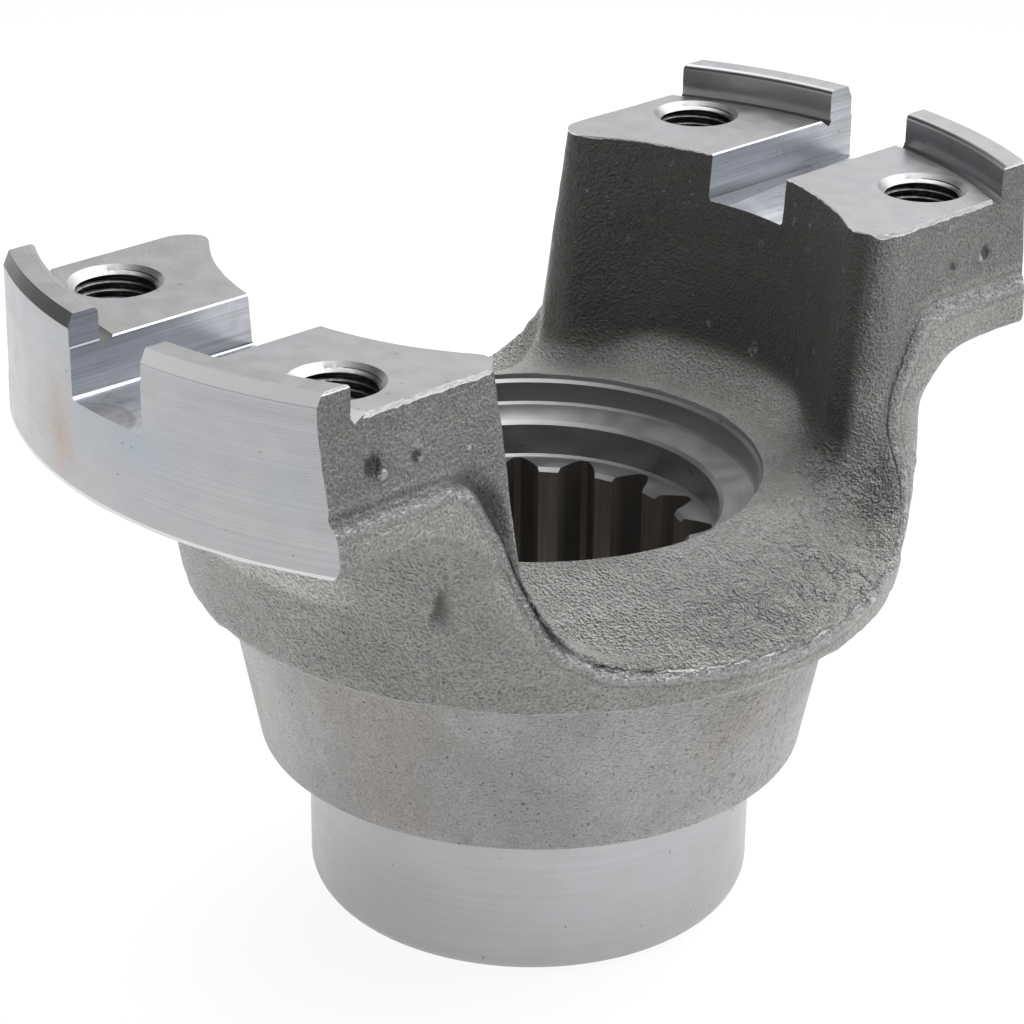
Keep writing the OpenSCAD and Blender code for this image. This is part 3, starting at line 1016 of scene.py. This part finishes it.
def turn_outside(target):
    """Hub, collar, ear faces and lip tops, all turned on the hub axis."""
    outline = (
        [(0, 0)] + arc(HUB_R - HUB_EDGE_R, HUB_EDGE_R, HUB_EDGE_R, 270, 360, 12)
        + [(HUB_R, HUB_LENGTH)]
        + arc(COLLAR_END_R - COLLAR_EDGE_R, HUB_LENGTH + COLLAR_EDGE_R, COLLAR_EDGE_R, 270, 350, 5)
        + [(COLLAR_TOP_R, COLLAR_TOP_Z)]
        + [(RIM_R + 8, COLLAR_TOP_Z + 0.3), (FACE_R, COLLAR_TOP_Z + 1)]  # clear of the rough rim
        + [(FACE_R, LIP_TOP - LIP_BEVEL_H), (FACE_R - LIP_BEVEL_W, LIP_TOP), (0, LIP_TOP)]
    )
    slots = [HUB] * 15 + [COLLAR] * 6 + [SKIN] * 2 + [EAR] * 2 + [PAD]
    assert len(slots) == len(outline) - 1
    cut(target, revolve("envelope", outline, slots, steps=360), "INTERSECT")


def mill_pads(target):
    """Bearing pads with the relief groove at the foot of the lips."""
    edge_r = LIP_WALL_R + LIP_EDGE_R
    groove_z = PAD_Z - GROOVE_DEPTH
    outline = (
        [(0, PAD_Z), (LIP_WALL_R - GROOVE_W, PAD_Z)]
        + [(LIP_WALL_R - GROOVE_CORNER_W, groove_z), (LIP_WALL_R, groove_z + GROOVE_CORNER_H)]
        + arc(edge_r, LIP_TOP - LIP_EDGE_R, LIP_EDGE_R, 180, 90, 5)
        + [(edge_r, LIP_TOP + OVERRUN), (0, LIP_TOP + OVERRUN)]
    )
    cut(target, revolve("pad_cutter", outline, [PAD] * (len(outline) - 1), steps=360))


def mill_keyway(target):
    """Keyway across both pads, with bevelled edges and root corners."""
    half = KEY_W / 2
    wide = half + KEY_BEVEL
    floor_z = PAD_Z - KEY_DEPTH
    top = LIP_TOP + OVERRUN
    outline = [
        (-half, floor_z + KEY_ROOT), (-half + KEY_ROOT, floor_z),
        (half - KEY_ROOT, floor_z), (half, floor_z + KEY_ROOT),
        (half, PAD_Z - KEY_BEVEL), (wide, PAD_Z), (wide, top),
        (-wide, top), (-wide, PAD_Z), (-half, PAD_Z - KEY_BEVEL),
    ]
    cut(target, prism("key_cutter", outline, -KEY_REACH, KEY_REACH, KEY, axis="y"))


def tap_hole(target, cx, cy):
    """Drilled, countersunk and threaded bolt hole."""
    sink = SINK_R - THREAD_CREST_R
    tip = THREAD_CREST_R * tan(DRILL_TIP_ANGLE)
    drill_z = PAD_Z - DRILL_DEPTH
    outline = [
        (0, drill_z - tip), (THREAD_CREST_R, drill_z), (THREAD_CREST_R, PAD_Z - sink),
        (SINK_R, PAD_Z), (SINK_R, LIP_TOP + OVERRUN), (0, LIP_TOP + OVERRUN),
    ]
    hole = revolve("hole_cutter", outline, [THREAD, THREAD, BORE, THREAD, THREAD], steps=72)
    hole.data.transform(Matrix.Translation((cx * MM, cy * MM, 0)))
    cut(target, hole)
    cut(target, thread_cutter("thread_cutter", cx, cy, PAD_Z - THREAD_DEPTH, THREAD_TURNS, THREAD))


def turn_bore(target):
    """Wide counterbore with its seat, and the relief above the spline."""
    mouth_r = SEAT_R + SEAT_BEVEL
    inner_z = SEAT_Z - SEAT_INNER_DROP
    outer_z = SEAT_Z - SEAT_OUTER_DROP
    outline = [
        (0, SPLINE_TOP), (RELIEF_R - RELIEF_CORNER, SPLINE_TOP), (RELIEF_R, SPLINE_TOP + RELIEF_CORNER),
        (RELIEF_R, inner_z - SEAT_EDGE), (RELIEF_R + SEAT_EDGE, inner_z),
        (SEAT_R - SEAT_CORNER, outer_z), (SEAT_R, outer_z + SEAT_CORNER),
        (SEAT_R, FLOOR_Z - SEAT_BEVEL), (mouth_r, FLOOR_Z),
        (mouth_r + MOUTH_FLARE, FLOOR_Z + OVERRUN), (0, FLOOR_Z + OVERRUN),
    ]
    cut(target, revolve("bore_cutter", outline, [BORE] * (len(outline) - 1), steps=288))


def involute(deg):
    return tan(deg) - math.radians(deg)


def spline_outline(flank_steps=5):
    """Plane outline of the involute spline, anticlockwise."""
    base_r = SPLINE_PITCH_R * cos(SPLINE_ANGLE)
    quarter_pitch = math.radians(90 / SPLINE_COUNT)

    def half_angle(r):
        return quarter_pitch - involute(math.degrees(math.acos(base_r / r))) + involute(SPLINE_ANGLE)

    flank = SPLINE_FORM_R - SPLINE_TIP_R
    radii = [SPLINE_TIP_R + flank * k / flank_steps for k in range(flank_steps + 1)]
    half_tooth = [(r, half_angle(r)) for r in radii]
    half_tooth.append((SPLINE_ROOT_R, half_angle(SPLINE_FORM_R) * SPLINE_ROOT_SHARE))
    around = [(r, -a) for r, a in half_tooth] + [(r, a) for r, a in reversed(half_tooth)]
    pts = []
    for i in range(SPLINE_COUNT):
        mid = math.radians(SPLINE_TURN + i * 360 / SPLINE_COUNT)
        pts += [(r * math.cos(mid + a), r * math.sin(mid + a)) for r, a in around]
    return pts


def broach_spline(target):
    """Spline through the hub, bevelled at both ends."""
    above = SPLINE_TOP + SPLINE_OVERRUN
    tip_r = SPLINE_TIP_R + SPLINE_BEVEL
    mouth_r = SPLINE_ROOT_R + HUB_BEVEL_OUT
    top_bevel = [
        (0, SPLINE_TOP - SPLINE_BEVEL), (SPLINE_TIP_R, SPLINE_TOP - SPLINE_BEVEL),
        (tip_r, SPLINE_TOP), (tip_r, above), (0, above),
    ]
    hub_bevel = [
        (0, -HUB_OVERRUN), (mouth_r + HUB_BEVEL_FLARE, -HUB_OVERRUN), (mouth_r, 0),
        (mouth_r - HUB_BEVEL, HUB_BEVEL), (0, HUB_BEVEL),
    ]
    cut(target, prism("spline_cutter", spline_outline(), -2 * HUB_OVERRUN, above, SPLINE))
    cut(target, revolve("tip_cutter", top_bevel, [BORE] * 4, steps=144))
    cut(target, revolve("end_cutter", hub_bevel, [BORE] * 4, steps=144))


def mark_sharp_edges(mesh):
    """Smooth shading with sharp edges, also where machined faces meet at a flat angle."""
    for poly in mesh.polygons:
        poly.use_smooth = True
    mesh.set_sharp_from_angle(angle=math.radians(SHARP_ANGLE))
    normals = {}
    for poly in mesh.polygons:
        if poly.material_index in (SKIN, COLLAR):
            continue
        for k in poly.loop_indices:
            edge = mesh.loops[k].edge_index
            if edge in normals and normals[edge].angle(poly.normal, 0) > math.radians(MACHINED_SHARP_ANGLE):
                mesh.edges[edge].use_edge_sharp = True
            normals.setdefault(edge, poly.normal.copy())


body = rough_forging()
turn_outside(body)
mill_pads(body)
mill_keyway(body)
for side_x, side_y in itertools.product((-1, 1), repeat=2):
    tap_hole(body, side_x * HOLE_X, side_y * HOLE_Y)
turn_bore(body)
broach_spline(body)
body.data.flip_normals()  # stock and cutters are wound inward
mark_sharp_edges(body.data)
add_masks(body.data)

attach(body, "root")
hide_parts("yoke")


# Stage

def floor_material():
    """White floor that mixes lit white with an even glow, so that shadows stay faint."""
    material = bpy.data.materials.new("floor_white")
    material.use_nodes = True
    tree = material.node_tree
    bsdf = tree.nodes["Principled BSDF"]
    bsdf.inputs["Base Color"].default_value = TABLE_COLOR
    bsdf.inputs["Roughness"].default_value = 0.9
    bsdf.inputs["Specular IOR Level"].default_value = 0.0
    glow = tree.nodes.new("ShaderNodeEmission")
    glow.inputs["Color"].default_value = (1, 1, 1, 1)
    glow.inputs["Strength"].default_value = GLOW_STRENGTH
    path = tree.nodes.new("ShaderNodeLightPath")
    share = tree.nodes.new("ShaderNodeMath")
    share.operation = "MULTIPLY_ADD"
    tree.links.new(path.outputs["Is Camera Ray"], share.inputs[0])
    share.inputs[1].default_value = GLOW_SHARE_SEEN
    share.inputs[2].default_value = GLOW_SHARE
    blend = tree.nodes.new("ShaderNodeMixShader")
    tree.links.new(share.outputs[0], blend.inputs[0])
    tree.links.new(bsdf.outputs[0], blend.inputs[1])
    tree.links.new(glow.outputs[0], blend.inputs[2])
    tree.links.new(blend.outputs[0], tree.nodes["Material Output"].inputs["Surface"])
    return material


def round_floor():
    """Round floor at z = 0 that the hub stands on."""
    mesh = bpy.data.meshes.new("floor")
    rim = [(TABLE_R * cos(a), TABLE_R * math.sin(math.radians(a)), 0) for a in range(0, 360, 3)]
    mesh.from_pydata(rim, [], [tuple(range(len(rim)))])
    mesh.materials.append(floor_material())
    obj = bpy.data.objects.new("floor", mesh)
    bpy.context.scene.collection.objects.link(obj)
    return obj


def studio_light(tree):
    """Soft light from high behind, a bright horizon behind and two low lobes at the left."""
    nodes, links = tree.nodes, tree.links
    coord = nodes.new("ShaderNodeTexCoord")
    split = nodes.new("ShaderNodeSeparateXYZ")
    links.new(coord.outputs["Generated"], split.inputs[0])

    def ramp(value, lo, hi, out_lo, out_hi):
        made = nodes.new("ShaderNodeMapRange")
        made.interpolation_type = "SMOOTHSTEP"
        links.new(value, made.inputs["Value"])
        for key, v in zip(("From Min", "From Max", "To Min", "To Max"), (lo, hi, out_lo, out_hi)):
            made.inputs[key].default_value = v
        return made.outputs["Result"]

    def join(operation, a, b):
        made = nodes.new("ShaderNodeMath")
        made.operation = operation
        for socket, value in zip(made.inputs, (a, b)):
            if isinstance(value, bpy.types.NodeSocket):
                links.new(value, socket)
            else:
                socket.default_value = value
        return made.outputs[0]

    total = SKY_BASE
    for direction, lo, hi, power, low_z, high_z in STUDIO_LOBES:
        dot = nodes.new("ShaderNodeVectorMath")
        dot.operation = "DOT_PRODUCT"
        links.new(coord.outputs["Generated"], dot.inputs[0])
        dot.inputs[1].default_value = Vector(direction).normalized()
        lobe = ramp(dot.outputs["Value"], lo, hi, 0, power)
        if low_z is not None:
            lobe = join("MULTIPLY", lobe, ramp(split.outputs["Z"], low_z, high_z, 1, 0))
        total = join("ADD", lobe, total)

    # the camera itself sees plain white
    path = nodes.new("ShaderNodeLightPath")
    seen = nodes.new("ShaderNodeMix")
    links.new(path.outputs["Is Camera Ray"], seen.inputs[0])
    links.new(total, seen.inputs[2])
    seen.inputs[3].default_value = 1.0
    links.new(seen.outputs[0], nodes["Background"].inputs["Strength"])
    nodes["Background"].inputs["Color"].default_value = (1, 1, 1, 1)


def fitted_camera():
    """Camera of the photograph, aimed around the middle of the pads."""
    data = bpy.data.cameras.new("camera")
    data.sensor_width = SENSOR_W
    data.lens = FOCAL_PX / IMAGE_PX * SENSOR_W
    data.clip_start, data.clip_end = CAM_CLIP
    flat = math.cos(CAM_EL)
    back = Vector((math.sin(CAM_AZ) * flat, -math.cos(CAM_AZ) * flat, math.sin(CAM_EL)))
    right = Vector((math.cos(CAM_AZ), math.sin(CAM_AZ), 0))
    up = back.cross(right)
    r_vec = math.cos(CAM_ROLL) * right + math.sin(CAM_ROLL) * up
    u_vec = -math.sin(CAM_ROLL) * right + math.cos(CAM_ROLL) * up
    place = (-CAM_TX * r_vec - CAM_TY * u_vec + CAM_DIST * back + Vector((0, 0, PAD_Z))) * MM
    turn = Matrix((r_vec, u_vec, back)).transposed().to_4x4()
    obj = bpy.data.objects.new("camera", data)
    obj.matrix_world = Matrix.Translation(place) @ turn
    bpy.context.scene.collection.objects.link(obj)
    return obj


round_floor()

world = bpy.data.worlds.new("studio")
bpy.context.scene.world = world
world.use_nodes = True
studio_light(world.node_tree)

bpy.context.scene.camera = fitted_camera()
bpy.context.scene.view_settings.view_transform = "Standard"
